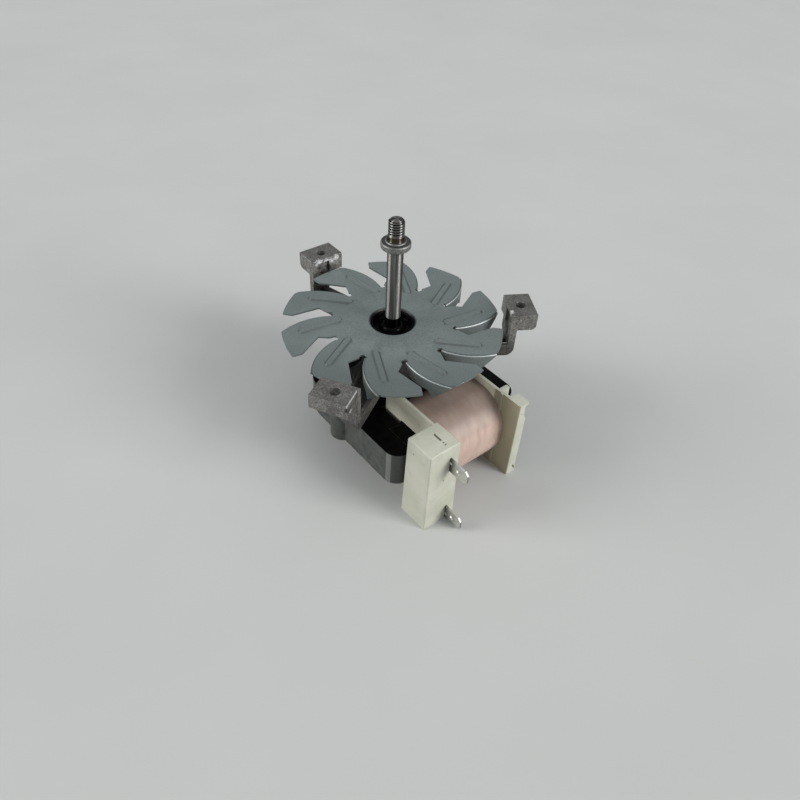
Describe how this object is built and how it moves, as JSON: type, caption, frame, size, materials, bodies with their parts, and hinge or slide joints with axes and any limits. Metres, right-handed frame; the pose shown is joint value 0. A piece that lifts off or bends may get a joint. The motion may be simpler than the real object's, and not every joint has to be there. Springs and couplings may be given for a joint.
{
  "type": "oven fan motor",
  "caption": "Shaded-pole motor on a cast three-legged bracket, with a long threaded shaft and a pressed cooling fan behind the lugs.",
  "frame": {"origin": "on the shaft's axis, in the plane of the three lugs' seating faces, at the centre of their hole circle", "axes": "+Z along the shaft to its threaded end, X along the coil, -Y from the shaft to the coil and the terminal block"},
  "size_m": [0.1049, 0.1229, 0.0936],
  "materials": {
    "cast_aluminium": "as cast, dull grey",
    "sintered_bronze": "sintered, oily",
    "felt": "oiled felt",
    "spring_steel": "bright spring steel",
    "plated_steel": "zinc plated",
    "core_steel": "stacked laminations, dark oxide",
    "copper": "bare or enamelled copper",
    "bobbin_plastic": "cream moulding, semi-matt",
    "coil_tape": "thin film over the wire",
    "tinned_brass": "tinned, bright",
    "ground_steel": "ground, polished",
    "washer_plastic": "matt",
    "black_plastic": "glossy black",
    "galvanised_steel": "galvanised sheet, faint spangle"
  },
  "bodies": {
    "stator": {"front_bracket": "cast_aluminium", "rear_bracket": "cast_aluminium", "front_bush": "sintered_bronze", "rear_bush": "sintered_bronze", "front_oil_felt": "felt", "rear_oil_felt": "felt", "front_bush_retainer": "spring_steel", "rear_bush_retainer": "spring_steel", "left_bracket_screw": "plated_steel", "right_bracket_screw": "plated_steel", "left_rear_screw": "plated_steel", "right_rear_screw": "plated_steel", "stator_core": "core_steel", "coil_limb": "core_steel", "left_shading_ring": "copper", "right_shading_ring": "copper", "bobbin": "bobbin_plastic", "coil_winding": "copper", "coil_tape": "coil_tape", "upper_terminal": "tinned_brass", "lower_terminal": "tinned_brass"},
    "rotor": {"shaft": "ground_steel", "shaft_collar": "ground_steel", "rotor_core": "core_steel", "rotor_cage": "cast_aluminium", "front_thrust_washer": "washer_plastic", "rear_thrust_washer": "washer_plastic", "fan_hub": "black_plastic", "cooling_fan": "galvanised_steel"}
  },
  "joints": [
    {"name": "rotor_spin", "type": "hinge", "parent": "stator", "child": "rotor", "pos_m": [0, 0, 0], "axis": [0, 0, 1], "continuous": true}
  ]
}
